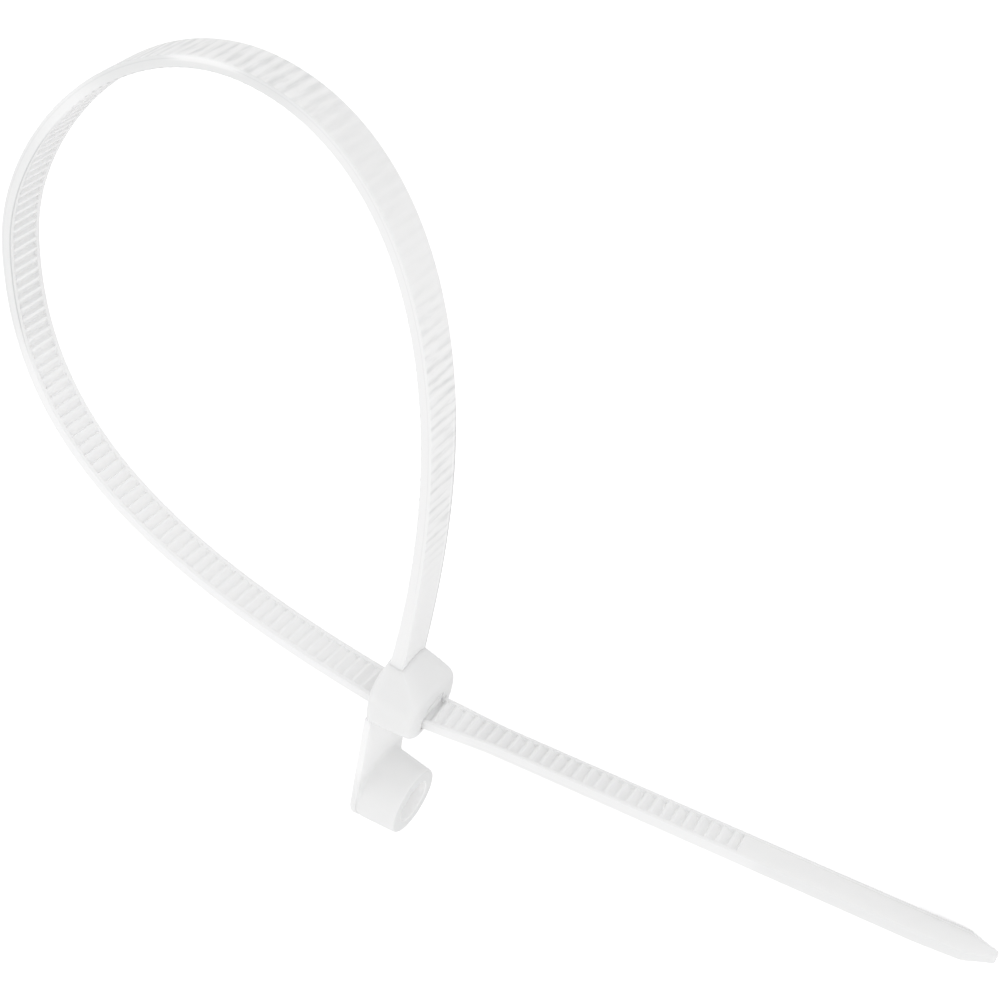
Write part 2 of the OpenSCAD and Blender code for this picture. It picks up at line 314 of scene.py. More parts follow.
def surface(name, grid, layers, sharp, closed=False):
    """Mesh object from rings of points: quads between neighbours, with a fan closing each open
    end, faces turned outwards, smooth apart from edges sharper than the given angle."""
    rows, columns = grid.shape[:2]
    points = grid.reshape(-1, 3)
    faces = grid_faces(rows, columns, closed)
    flip = volume(points, faces) < 0
    if flip:
        faces = faces[:, ::-1]
    polygons = faces.tolist()
    if not closed:
        points = np.vstack([points, grid[0].mean(0), grid[-1].mean(0)])
        start, end = rows * columns, rows * columns + 1
        ring = np.arange(columns)
        following = (ring + 1) % columns
        last = (rows - 1) * columns
        first_fan = np.stack([ring, np.full(columns, start), following], 1)
        last_fan = np.stack([last + following, np.full(columns, end), last + ring], 1)
        for fan in (first_fan, last_fan):
            polygons += (fan[:, ::-1] if flip else fan).tolist()
    mesh = bpy.data.meshes.new(name)
    mesh.from_pydata(points.tolist(), [], polygons)
    for layer, values in layers.items():
        flat = values.reshape(-1)
        if not closed:
            flat = np.append(flat, [0, 0])
        mesh.attributes.new(layer, "FLOAT", "POINT").data.foreach_set("value", flat)
    mesh.shade_smooth()
    mesh.set_sharp_from_angle(angle=radians(sharp))
    mesh.validate()
    piece = bpy.data.objects.new(name, mesh)
    bpy.context.scene.collection.objects.link(piece)
    return piece


def finish_piece(piece):
    """Gives a piece the nylon and its body, and hides the CAD solid that it stands for."""
    piece.data.materials.append(shared_nylon())
    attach(piece, "root")
    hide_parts("cable_tie")


# The strap

def slot_middle(head, eyelet):
    """The point from which the loop and the tail are measured, inside the head."""
    return np.array([head.entry_depth - eyelet.depth / 2, eyelet.drop, 0])


def loop_line(loop, head):
    """Flat centre line of the loop, from inside the head's top round to the slot: three cubic
    curves that share their tangents."""
    root = np.array([loop.root_x, loop.root_y])
    lean = np.array([sin(loop.root_lean), cos(loop.root_lean)])
    top = np.array([-loop.top_x, loop.top_y])
    side = np.array([-loop.side_x, loop.side_y])
    slot = np.zeros(2)
    right, up = np.eye(2)
    stem = root - (loop.root_y - head.top + loop.root_sink) * lean
    rising, falling, closing = LOOP_SAMPLES
    return np.vstack([
        stem,
        cubic(root, root + loop.reach_root * lean, top + loop.reach_top_in * right, top, rising),
        cubic(top, top - loop.reach_top_out * right, side + loop.reach_side_in * up, side,
              falling),
        cubic(side, side - loop.reach_side_out * up, slot - loop.reach_slot * right, slot,
              closing),
        slot,
    ])


def tail_frames(s, tail):
    """Directions along, out of the teeth and across the tail: a turn about Y, a rise about Z
    and a roll about the tail itself, each taken up smoothly with the distance s."""
    bend = ease(-tail.bend, tail.bend, s)
    turn, rise = tail.turn * bend, tail.rise * bend
    roll = -tail.roll * ease(tail.roll_start, tail.roll_start + tail.roll_length, s)
    ct, st, cr, sr = np.cos(turn), np.sin(turn), np.cos(rise), np.sin(rise)
    co, so = np.cos(roll)[:, None], np.sin(roll)[:, None]
    along = np.stack([ct * cr, sr, -st * cr], 1)
    out = np.stack([-ct * sr, cr, st * sr], 1)
    across = np.stack([st, 0 * s, ct], 1)
    return along, out * co + across * so, across * co - out * so


def centre_line(tie):
    """Fine samples of the whole strap: distance from the slot's middle, place, and directions
    out of the teeth and across. The loop is flat, and the tail's place is the sum of its
    steps along."""
    tail = tie.tail
    flat = loop_line(tie.loop, tie.head)
    steps = np.linalg.norm(np.diff(flat, axis=0), axis=1)
    s = np.concatenate([[0], np.cumsum(steps)])
    s -= s[-1]
    even = np.linspace(s[0], -tail.bend, LINE_SAMPLES)
    flat = np.column_stack([np.interp(even, s, flat[:, 0]), np.interp(even, s, flat[:, 1])])
    way = unit(np.gradient(flat, axis=0))
    zero, one = np.zeros((len(even), 1)), np.ones((len(even), 1))
    place = np.hstack([flat, zero])
    out = np.hstack([-way[:, 1:], way[:, :1], zero])
    across = np.hstack([zero, zero, one])
    s_tail = np.linspace(-tail.bend, tail.length, TAIL_SAMPLES)[1:]
    along, tail_out, tail_across = tail_frames(s_tail, tail)
    step = s_tail[1] - s_tail[0]
    tail_place = place[-1] + np.cumsum(along * step, axis=0)
    return (np.concatenate([even, s_tail]),
            np.vstack([place, tail_place]) + slot_middle(tie.head, tie.eyelet),
            np.vstack([out, tail_out]), np.vstack([across, tail_across]))


# Heights of one tooth over its pitch: steep towards the head, a long ramp towards the tip
TOOTH_AT = np.array([0, 0.03, 0.11, 0.15, 0.34, 0.38, 0.60, 0.83, 0.88])
TOOTH_HIGH = np.array([0, 0.08, 0.92, 1, 1, 0.94, 0.50, 0.03, 0])


def strap_stations(start, strap, tail):
    """Distances of the strap's cross sections, the height of the teeth at each from 0 to 1,
    and where the toothed part begins and ends. Plain stretches have wide steps, and each
    tooth has nine."""
    toothed_end = tail.toothed // strap.pitch * strap.pitch
    count = int((toothed_end - start - strap.smooth_root) / strap.pitch)
    first = toothed_end - count * strap.pitch
    teeth = (first + (np.arange(count)[:, None] + TOOTH_AT) * strap.pitch).reshape(-1)
    taper = tail.length - tail.tip_taper
    s = np.concatenate([
        np.linspace(start, first - 2 * HAIR, ROOT_STEPS),
        teeth,
        np.linspace(toothed_end + 2 * HAIR, taper - 20 * HAIR, TONGUE_STEPS),
        taper + tail.tip_taper * np.sin(quarter(TIP_STEPS)),
    ])
    height = np.concatenate([np.ones(ROOT_STEPS), np.tile(TOOTH_HIGH, count),
                             np.ones(TONGUE_STEPS + TIP_STEPS)])
    return s, height, first, toothed_end


# Places of the section's points: shares of the smooth face and of the floor, and of the wall
OUTER_AT = (0, 0.35, 0.7)
FLOOR_AT = (0.6, 0.3, 0)
WALL_AT = 0.85


def strap_section(strap, half_width, low, high, floor, rail):
    """Half of the strap's cross section, from the middle of the outer face round one edge,
    over the rail and down to the middle of the toothed floor: offsets out and across."""
    edge = strap.edge
    arc = quarter(CORNER_STEPS)
    outer = [(low, share * (half_width - edge)) for share in OUTER_AT]
    corner = [(low + edge - edge * cos(a), half_width - edge + edge * sin(a)) for a in arc]
    side = [((low + high) / 2, half_width)]
    brow = [(high - edge + edge * sin(a), half_width - edge + edge * cos(a)) for a in arc]
    inner = half_width - rail
    ledge = high - strap.lip_drop
    lip = [(high, inner + strap.lip_run), (ledge, inner)]
    wall = [(ledge - WALL_AT * np.maximum(ledge - floor, 0), inner - 2 * HAIR),
            (floor, inner - strap.wall_lean)]
    bed = [(floor, share * inner) for share in FLOOR_AT]
    return outer + corner + side + brow + lip + wall + bed


# Marks along the strap: a strength, then the places in millimetres from the root where the
# mark begins, is full, begins to fade and has gone
FROM_ROOT = (-9, -8)
PAST_TIP = (300, 310)
CRISP_PART = (106, 118, 138, 150)
STREAKED = ((1, 14, 26, 100, 110), (-0.85, 44, 56, 68, 80))
STEM = ((1, *FROM_ROOT, 32, 42),)
CRISP = ((1, *CRISP_PART),)
# Painted light on the faces, painted shade on the whole strap and on its sides, and a painted
# highlight on the outer half of the sides: above 0 is paler and below 0 is darker
FACE_PAINTED_LIGHT = ((0.55, *FROM_ROOT, 8, 24), (0.935, 140, 152, 200, 208), (0.99, 208, 209, 216, 220),
             (0.55, 230, 245, *PAST_TIP), (0.22, 245, 255, *PAST_TIP))
WHOLE_PAINTED_SHADE = ((-0.1, 56, 66, 96, 106),)
SIDE_PAINTED_SHADE = ((-0.35, 70, 78, 98, 106), (-0.25, *CRISP_PART))
SIDE_PAINTED_GLEAM = ((1.5, 80, 84, 87, 91),)
# Painted shade on the sides of the tongue
TONGUE_SIDE_PAINTED_SHADE = -0.3
# Where a side begins and is full, as a share of the half width; how much less of the faces'
# painted light a side takes; and the depths, from 0 outside to 1 at the teeth, where the
# painted highlight fades
SIDE_AT = (0.9, 1)
SIDE_CALM = 0.8
SIDE_PAINTED_GLEAM_DEPTH = (0.3, 0.55)
# Lengths over which the teeth's marks fade at either end, and the tongue's marks set in
HATCH_FADE = 3 * MM
TONGUE_FADE = 4 * MM


def stretches(run, marks):
    """Sum of the marks at each distance from the root: every strength times a smooth rise
    less a smooth fall."""
    return sum(strength * (ease(begin * MM, full * MM, run) - ease(fade * MM, gone * MM, run))
               for strength, begin, full, fade, gone in marks)


def strap_layers(s, start, first, toothed_end, strap, n, b):
    """Values that the material reads on the strap. side goes from -1 to 1 across it, inward
    from -1 on the smooth face to 1 on the toothed one, and tooth counts the teeth. The rest
    are the strengths of its marks, and its painted light and shade."""
    s = s[:, None]
    run = s - start
    depth = (n - n.min(1, keepdims=True)) / np.ptp(n, axis=1)[:, None]
    flank = ease(*SIDE_AT, np.abs(b) / b.max(1, keepdims=True))
    tongue = ease(toothed_end, toothed_end + TONGUE_FADE, s)
    # Painted highlight and painted shade on the sides, and painted light on the faces
    painted_gleam = stretches(run, SIDE_PAINTED_GLEAM) * (1 - ease(*SIDE_PAINTED_GLEAM_DEPTH, depth))
    sides = painted_gleam + stretches(run, SIDE_PAINTED_SHADE) + TONGUE_SIDE_PAINTED_SHADE * tongue
    faces = stretches(run, FACE_PAINTED_LIGHT) * (1 - SIDE_CALM * flank)
    layers = {
        "side": b / (strap.width / 2),
        "inward": 2 * depth - 1,
        "painted_shading": faces + stretches(run, WHOLE_PAINTED_SHADE) + sides * flank,
        "tooth": (s - first) / strap.pitch,
        "hatch": (ease(first, first + HATCH_FADE, s)
                  * (1 - ease(toothed_end - HATCH_FADE, toothed_end, s))),
        "streaks": stretches(run, STREAKED),
        "stem": stretches(run, STEM),
        "tongue": tongue,
        "crisp": stretches(run, CRISP),
    }
    return {name: np.broadcast_to(values, n.shape) for name, values in layers.items()}


def build_strap(tie):
    """Carries the cross section along the centre line: place + out * n + across * b, with the
    floor of the channel following the teeth."""
    strap, tail = tie.strap, tie.tail
    samples, place, out, across = centre_line(tie)
    start = samples[0]
    s, height, first, toothed_end = strap_stations(start, strap, tail)
    to_tip = tail.length - s
    taper = np.clip((tail.tip_taper - to_tip) / (tail.tip_taper - tail.tip_round), 0, 1)
    rounding = np.clip(1 - to_tip / tail.tip_round, 0, 1)
    half = (strap.width - (strap.width - tail.tip_width) * taper) / 2
    half *= tail.tip_blunt + (1 - tail.tip_blunt) * np.sqrt(1 - rounding ** 2)
    thin = np.clip(1 - to_tip / tail.thinning, 0, 1) ** tail.thinning_power
    swell = strap.swell / 2 * np.exp((start - s) / strap.swell_run)
    top = strap.thick / 2 + swell
    low = (strap.thick - tail.tip_thick) * thin - strap.thick / 2 - swell
    floor = top - strap.tooth * (1 - height)
    rail = strap.rail * half / (strap.width / 2)
    section = strap_section(strap, half, low, top, floor, rail)
    section += [(n, -b) for n, b in section[-2:0:-1]]
    n, b = (np.stack(offsets, 1) for offsets in zip(*section))

    def at(values):
        """Values of the centre line at each cross section."""
        return np.stack([np.interp(s, samples, values[:, k]) for k in range(3)], 1)[:, None]

    grid = at(place) + at(out) * n[..., None] + at(across) * b[..., None]
    layers = strap_layers(s, start, first, toothed_end, strap, n, b)
    return surface("strap", grid, layers, sharp=28)


# The head

# Painted shade: the thick head is a little darker than the thin strap
HEAD_PAINTED_SHADE = -0.1


def rounded_box(normals, low, high, half, radius):
    """The points of a rounded box whose outward normals have the given angles: the corner
    centre on that side plus the radius along the normal. Also how far each normal reaches."""
    c, s = np.cos(normals), np.sin(normals)
    y = np.where(c > 0, high - radius, low + radius) + radius * c
    z = np.where(s > 0, half - radius, radius - half) + radius * s
    points = np.stack([y, z], -1)
    return points, y * c + z * s


def arched_top(normals, high, half, crown):
    """The points of a low arch over a line of the given half width, for each outward normal,
    and how far each reaches: a circle of radius (half^2 + crown^2) / (2 crown)."""
    radius = (half ** 2 + crown ** 2) / (2 * crown)
    limit = np.arcsin(half / radius)
    a = np.clip((normals + pi) % (2 * pi) - pi, -limit, limit)
    points = np.stack([high + crown - radius * (1 - np.cos(a)), radius * np.sin(a)], -1)
    return points, points[:, 0] * np.cos(normals) + points[:, 1] * np.sin(normals)


def outermost(first, second):
    """Hull of two convex outlines: for each normal, the point that reaches further."""
    return np.where((first[1] > second[1])[:, None], first[0], second[0])


def exits(angles, low, high, half_width):
    """How far a ray from the origin runs inside a box from low to high and +-half_width."""
    c, s = np.cos(angles), np.sin(angles)
    along = np.where(c > 0, high, -low) / np.maximum(np.abs(c), TINY)
    return np.minimum(along, half_width / np.maximum(np.abs(s), TINY))


def build_head(tie):
    """One closed skin of rings about the slot: the rounded and drafted outside, the front
    face, the window and slot inside, and the back face. Each ring is a curve over angle."""
    head, strap, tail, loop = tie.head, tie.strap, tie.tail, tie.loop
    middle = slot_middle(head, tie.eyelet)
    back = -tie.eyelet.depth / 2
    front = back + head.depth
    angles = np.linspace(0, 2 * pi, HEAD_SIDES, endpoint=False)
    rise = head.top + head.shoulder
    shoulder_x = middle[0] + loop.root_x - (loop.root_y - rise) * np.tan(loop.root_lean)
    half_stem = (strap.thick + strap.swell) / 2
    tall = arched_top(angles, rise, strap.width / 2, head.crown)

    def outside(x, inset):
        """The drafted block at x, drawn in by the inset, with the shoulder's arch blended in
        by how near x is to the strap's root."""
        back_share = 1 - (x - back) / head.depth
        high = head.top + head.draft * back_share - inset
        low = -head.base - head.base_draft * back_share + head.base_round * inset
        half = head.width / 2 + head.draft * back_share - inset
        block = rounded_box(angles, low, high, half, head.corner - head.corner_round * inset)
        gap = abs(x - shoulder_x) - half_stem
        room = (front - shoulder_x if x > shoulder_x else shoulder_x - back) - half_stem
        share = 1 - min(max(gap / room, 0), 1)
        ring = outermost(block, [a + (b - a) * share for a, b in zip(block, tall)])
        return np.column_stack([np.full(HEAD_SIDES, x), middle[1] + ring[:, 0], ring[:, 1]])

    def inside(x, windowed, grow=0.0):
        """The slot at x, or the slot and its window together: for each angle, the further of
        the two boxes' walls, shifted to follow the tail's rise and turn."""
        gap = head.slot_gap + grow
        half_thick = strap.thick / 2
        reach = exits(angles, -half_thick - gap, half_thick + gap, strap.width / 2 + gap)
        if windowed:
            window = exits(angles, -half_thick - gap, half_thick + head.window_height + grow,
                           head.window_width / 2 + grow)
            reach = np.maximum(reach, window)
        ahead = max(x - middle[0], 0)
        lift, shift = ahead * np.tan(tail.rise), -ahead * np.tan(tail.turn)
        return np.column_stack([np.full(HEAD_SIDES, x),
                                middle[1] + lift + reach * np.cos(angles),
                                shift + reach * np.sin(angles)])

    rings = [outside(back + head.back_round * (1 - cos(a)), head.back_round * (1 - sin(a)))
             for a in quarter(BACK_STEPS)]
    straight = head.depth - head.back_round - head.front_round
    rings += [outside(back + head.back_round + share * straight, 0)
              for share in shares(HEAD_STEPS)]
    rings += [outside(front - head.front_round * (1 - sin(a)), head.front_round * (1 - cos(a)))
              for a in quarter(FRONT_STEPS)[1:]]
    rim, mouth = rings[-1], inside(front, True, head.window_edge)
    rings += [rim * (1 - share) + mouth * share
              for share in np.linspace(0, 1, MOUTH_STEPS + 1)[1:]]
    rings.append(inside(front - head.window_edge, True))
    rings += [inside(front - share * head.window_depth, True) for share in shares(WINDOW_STEPS)]
    rings.append(inside(front - head.window_depth - HAIR, False))
    rings.append(inside(back + head.entry_flare, False))
    rings.append(inside(back, False, head.entry_flare))
    grid = np.array(rings)
    layers = {"painted_shading": np.full(grid.shape[:2], HEAD_PAINTED_SHADE)}
    return surface("head", grid, layers, sharp=38, closed=True)


# The pawl

# Painted light on the pawl, which sits in the shade inside the slot
PAWL_PAINTED_LIGHT = 0.6
# One tooth of the pawl: where it stands in its pitch, then its points, as shares of the pitch
# and of the tooth's height
PAWL_TOOTH_PLACE = 0.86
PAWL_TOOTH = ((-0.35, 0), (0.14, 1), (0.2, 0.6), (0.22, 0))


def build_pawl(tie):
    """A side outline of the pawl, with its teeth between the strap's, carried across it along
    the tail's straight part. Its nose is level with the head's front face, which isn't square
    to the tail."""
    pawl, strap, head, tail = tie.pawl, tie.strap, tie.head, tie.tail
    low = strap.thick / 2 + pawl.gap
    high = strap.thick / 2 + head.window_height
    bite = strap.tooth - 2 * pawl.gap
    under = [(0, high - pawl.thick), (pawl.hinge, low + pawl.hinge_rise), (strap.pitch, low)]
    for i in range(1, pawl.teeth + 1):
        at = (i + PAWL_TOOTH_PLACE) * strap.pitch
        under += [(at + share * strap.pitch - (pawl.gap if deep else 0), low - deep * bite)
                  for share, deep in PAWL_TOOTH]
    ceiling = high - pawl.gap
    half = pawl.width / 2
    along, out, across = (v[0] for v in tail_frames(np.array([tail.roll_start]), tail))
    place = slot_middle(head, tie.eyelet)
    face = head.depth - tie.eyelet.depth / 2 - pawl.recess - place[0]

    def level(offset, b):
        """How far along the tail the face lies, at offsets out and b across."""
        return (face - offset * out[0] - b * across[0]) / along[0]

    rings = []
    for b, inset in ((-half, pawl.edge), (pawl.edge - half, 0), (half - pawl.edge, 0),
                     (half, pawl.edge)):
        slit, roof = low + pawl.slit + inset, ceiling - inset
        nose = [(level(low, b) - pawl.nose, low), (level(slit, b) - inset, slit),
                (level(roof, b) - inset, roof)]
        outline = np.array(under + nose + [(pawl.foot, roof), (0, high - inset)])
        rings.append(place + outline[:, :1] * along + outline[:, 1:] * out + b * across)
    grid = np.array(rings)
    layers = {"painted_shading": np.full(grid.shape[:2], PAWL_PAINTED_LIGHT)}
    return surface("pawl", grid, layers, sharp=20)


# The eyelet and its neck

# Painted shade on the thick eyelet, more on its front face, and painted light on the neck plate and in
# the bore
EYELET_PAINTED_SHADE = -0.1
EYELET_FACE_PAINTED_SHADE = -0.4
NECK_PAINTED_LIGHT = 1.0
BORE_PAINTED_LIGHT = 1.0
# Where the neck's painted light begins and is full, as shares of the eyelet's radius, and how much
# of the front edge's rounding has the painted shade of the front face
NECK_AT = (0.8, 1.4)
FACE_SHARE = 0.2


def neck_outline(eyelet, head):
    """Outline of the plate: the eyelet's circle below, straight sides up to the head."""
    foot = eyelet.drop - head.base + eyelet.plate_sink
    radius, waist = eyelet.back, eyelet.waist
    lean = (radius - waist) / foot
    low = np.linspace(-lean, pi + lean, PLATE_SIDES // 2)
    circle = np.stack([-radius * np.sin(low), -radius * np.cos(low)], 1)
    side = np.linspace(0, 1, PLATE_SIDES // 4)[1:, None]
    right = circle[-1] + (np.array([foot, waist]) - circle[-1]) * side
    across = np.linspace(waist, -waist, PLATE_TOP + 2)[1:-1]
    top = np.column_stack([np.full(PLATE_TOP, foot), across])
    left = np.flipud(right) * [1, -1]
    return np.vstack([circle, right, top, left[:-1]])


def build_eyelet(tie):
    """One closed skin of rings about the bore: back face, plate edge, plate front, a fillet
    up to the drafted boss, the rounded rim, the front face and the bore."""
    eyelet = tie.eyelet
    outline = neck_outline(eyelet, tie.head)
    far = np.linalg.norm(outline, axis=1, keepdims=True)
    way = outline / far
    back, front = -eyelet.depth / 2, eyelet.depth / 2

    def boss(x):
        """Radius of the drafted boss at x."""
        return eyelet.back + (eyelet.front - eyelet.back) * (x - back) / eyelet.depth

    def ring(x, radius):
        """The outline's directions at x, each as far out as the radius says."""
        flat = way * radius
        return np.column_stack([np.full(len(flat), x), flat])

    def plate(x, inset):
        """The plate's outline at x, drawn in by the inset, and by the draft on the boss."""
        draft = np.where(far > eyelet.back * NEARLY, 0, boss(x) - eyelet.back)
        return ring(x, far + draft - inset)

    edge, fillet, thin, lip = eyelet.edge, eyelet.fillet, eyelet.plate_edge, eyelet.lip
    shoulder = back + eyelet.plate
    rings = [ring(back, eyelet.bore + lip), ring(back, (eyelet.bore + eyelet.back) / 2)]
    rings += [plate(back + edge * (1 - cos(a)), edge * (1 - sin(a))) for a in quarter(EDGE_STEPS)]
    rings += [plate(shoulder - thin * (1 - sin(a)), thin * (1 - cos(a)))
              for a in quarter(PLATE_STEPS)]
    for a in quarter(FILLET_STEPS):
        x = shoulder + fillet * (1 - cos(a))
        rings.append(ring(x, np.minimum(boss(x) + fillet * (1 - sin(a)), far - thin)))
    rings += [ring(x, boss(x))
              for x in np.linspace(shoulder + fillet, front - edge, EDGE_STEPS)[1:]]
    rings += [ring(front - edge * (1 - sin(a)), boss(front) - edge * (1 - cos(a)))
              for a in quarter(EDGE_STEPS)[1:]]
    rings += [ring(front, (boss(front) + eyelet.bore) / 2), ring(front, eyelet.bore + lip)]
    rings += [ring(x, eyelet.bore) for x in np.linspace(front - lip, back + lip, BORE_STEPS)]
    grid = np.array(rings)
    begin, full = (share * eyelet.back for share in NECK_AT)
    painted_shading = EYELET_PAINTED_SHADE + (NECK_PAINTED_LIGHT - EYELET_PAINTED_SHADE) * ease(begin, full, grid[..., 1])
    painted_shading = np.where(grid[..., 0] > front - FACE_SHARE * edge, EYELET_FACE_PAINTED_SHADE, painted_shading)
    in_bore = np.hypot(grid[..., 1], grid[..., 2]) < eyelet.bore * NEARLY
    layers = {"painted_shading": np.where(in_bore, BORE_PAINTED_LIGHT, painted_shading)}
    return surface("eyelet", grid, layers, sharp=38, closed=True)


# Materials

class Value:
    """A socket of a node tree with arithmetic: each operator adds a Math node."""

    def __init__(self, tree, socket):
        self.tree, self.socket = tree, socket

    def maths(self, operation, *others):
        """A Math node on this value and the others."""
        return self.tree.node("ShaderNodeMath", {"operation": operation}, [self, *others])

    def __add__(self, other):
        return self.maths("ADD", other)

    def __sub__(self, other):
        return self.maths("SUBTRACT", other)

    def __rsub__(self, other):
        return self * -1 + other

    def __mul__(self, other):
        return self.maths("MULTIPLY", other)

    __radd__ = __add__
    __rmul__ = __mul__

    def clamped(self):
        """This value, kept between 0 and 1."""
        return self.tree.node("ShaderNodeClamp", {}, [self])

    def rise(self, begin, full):
        """Goes evenly from 0 where this value is at begin to 1 where it is at full."""
        return self.tree.node("ShaderNodeMapRange", {},
                              {"Value": self, "From Min": begin, "From Max": full})

    def line(self, at, begin, full):
        """1 where this value is as near to at as full, and 0 where it is further than begin."""
        return (self - at).maths("ABSOLUTE").rise(begin, full)


class Nodes:
    """Adds nodes to a material or world: a type, its settings, then its sockets."""

    def __init__(self, owner):
        owner.use_nodes = True
        self.tree = owner.node_tree
        self.tree.nodes.clear()

    def node(self, kind, settings=None, sockets=None, output=0):
        """A new node of the given kind, and the value of one of its outputs."""
        node = self.tree.nodes.new(kind)
        for name, value in (settings or {}).items():
            setattr(node, name, value)
        pairs = sockets.items() if isinstance(sockets, dict) else enumerate(sockets or [])
        for key, value in pairs:
            if isinstance(value, Value):
                self.tree.links.new(value.socket, node.inputs[key])
            else:
                node.inputs[key].default_value = value
        return Value(self, node.outputs[output]) if node.outputs else node


WHITE = (1, 1, 1, 1)
# Colour of the painted shade, as shares of the nylon's tint, and of the painted light
PAINTED_SHADE_SHARES = (0.72, 0.73, 0.73)
PAINTED_LIGHT_COLOUR = (0.98, 0.98, 0.98, 1)
REFRACTION = 1.53
HAZE_REACH = (1, 0.99, 0.97)
# Coarseness of the faint clouds and of the moulded grain, per metre
CLOUDS = 260
GRAIN = 2600
# The painted streaks of shade and light that stand for the teeth seen through the smooth face:
# noise steps to a tooth and across the strap, and shares of waves and of noise
STREAK_SCALE = (2.6, 0.9)
STREAK_WAVE = 0.4
STREAK_NOISE = 2.8
# Where marks lie across the strap: places that begin a mark and where it is full, for lines
# after the place of the line itself. Some are read on side and some on inward.
SMOOTH_FACE = (-0.9, -1)
SMOOTH_HALF = (0, -0.6)
CREST = (0.85, 1)
LEDGE = (0.78, 0.88)
PARTING_LINE = (-0.45, 0.12, 0.03)
TOOTH_BED = (0, 0.75, 0.7)
NEAR_FLANK = (0.985, 1)
NEAR_BROW = (0.94, 0.96)
TONGUE_BEVEL = (-0.66, -0.78)
FAR_RIM = (-0.86, -0.9)
FAR_PAINTED_GLINT = (-0.77, 0.09, 0.04)


def strap_marks(tree, look):
    """How much painted shade and painted light the marks put into the nylon, from 0 to 1. The
    smooth face has painted streaks of shade and light that follow the teeth under it, and the
    crests of the teeth have a painted highlight. Thin lines run along the edges: a parting line
    drawn in painted shade, a painted dark rim and a painted glint next to the root, painted
    shade notches over the streaks, a crisp brow in painted shade, and painted shade on the
    bevel of the tongue. Other pieces have their painted light and shade alone."""
    names = ("tooth", "hatch", "side", "inward", "stem", "tongue", "streaks", "crisp", "painted_shading")
    tooth, hatch, side, inward, stem, tongue, streaks, crisp, painted_shading = (
        tree.node("ShaderNodeAttribute", {"attribute_name": name}, output=2) for name in names)
    across = tree.node("ShaderNodeCombineXYZ", {},
                       {"X": tooth * STREAK_SCALE[0], "Y": side * STREAK_SCALE[1]})
    streak = tree.node("ShaderNodeTexNoise", {}, {"Vector": across, "Scale": 1, "Detail": 3})
    wave = (tooth * (2 * pi)).maths("SINE")
    rows = wave * STREAK_WAVE + (streak - 0.5) * STREAK_NOISE
    # Painted shade and painted light in streaks over the smooth face, following the teeth under it
    painted_streaks = rows * inward.rise(*SMOOTH_FACE) * streaks
    crest = inward.rise(*CREST)
    smooth_half = inward.rise(*SMOOTH_HALF)
    # Painted shade along the edges: the brow, the far rim next to the root, the tongue's bevel and
    # notches over the streaks, and the parting line, a real line whose dark crease is painted shade
    brow = side.rise(*NEAR_BROW) * inward.rise(*LEDGE)
    parting = inward.line(*PARTING_LINE) * side.rise(*NEAR_FLANK) * hatch
    rim = side.rise(*FAR_RIM) * smooth_half * stem
    # Painted highlight along the far edge next to the root
    painted_glint = side.line(*FAR_PAINTED_GLINT) * smooth_half * stem
    bevel = side.rise(*TONGUE_BEVEL) * crest * tongue
    notch_shade = brow * wave.maths("MAXIMUM", 0) * streaks
    lines = (parting * look.parting + rim * look.rim + bevel * look.bevel + brow * crisp
             + notch_shade)
    # Painted highlight on the crests of the teeth, stronger where the edges are crisp
    crests = crest * side.line(*TOOTH_BED) * hatch * (crisp * look.crisp_crest + look.crest)
    # dark is how much painted shade, pale how much painted light, goes into the colour
    dark = (painted_streaks * look.streak_dark + lines - painted_shading).clamped()
    pale = (painted_streaks * -look.streak_pale + crests + painted_shading + painted_glint - rim).clamped()
    return dark, pale


def nylon_material(look):
    """Natural nylon: milky and satin, with a soft moulded grain, a gloss that varies in faint
    clouds, and the painted light and shade of the pieces and the strap's marks mixed into its colour."""
    material = bpy.data.materials.new("natural_nylon")
    tree = Nodes(material)
    place = tree.node("ShaderNodeTexCoord", output=3)
    cloud = tree.node("ShaderNodeTexNoise", {}, {"Vector": place, "Scale": CLOUDS, "Detail": 3})
    grain = tree.node("ShaderNodeTexNoise", {}, {"Vector": place, "Scale": GRAIN, "Detail": 2})
    dark, pale = strap_marks(tree, look)
    tint = look.tint
    shade = (*(share * channel for share, channel in zip(PAINTED_SHADE_SHARES, tint)), 1)
    # Painted shade is mixed in first, then painted light
    body = tree.node("ShaderNodeMix", {"data_type": "RGBA"},
                     {0: dark, 6: tuple(tint), 7: shade}, output=2)
    colour = tree.node("ShaderNodeMix", {"data_type": "RGBA"},
                       {0: pale, 6: body, 7: PAINTED_LIGHT_COLOUR}, output=2)
    bump = tree.node("ShaderNodeBump", {}, {"Height": grain, "Strength": look.grain,
                                            "Distance": look.grain_depth})
    rough = cloud * look.rough_spread + (look.rough - look.rough_spread / 2)
    skin = tree.node("ShaderNodeBsdfPrincipled", {"subsurface_method": "RANDOM_WALK"}, {
        "Base Color": colour, "Roughness": rough, "IOR": REFRACTION, "Normal": bump,
        "Subsurface Weight": look.haze, "Subsurface Radius": HAZE_REACH,
        "Subsurface Scale": look.haze_depth,
    })
    tree.node("ShaderNodeOutputMaterial", {}, {"Surface": skin})
    return material


def shared_nylon():
    """The one nylon material, made when the first piece asks for it."""
    known = bpy.data.materials.get("natural_nylon")
    return known or nylon_material(bpy.context.scene.cable_tie.look)


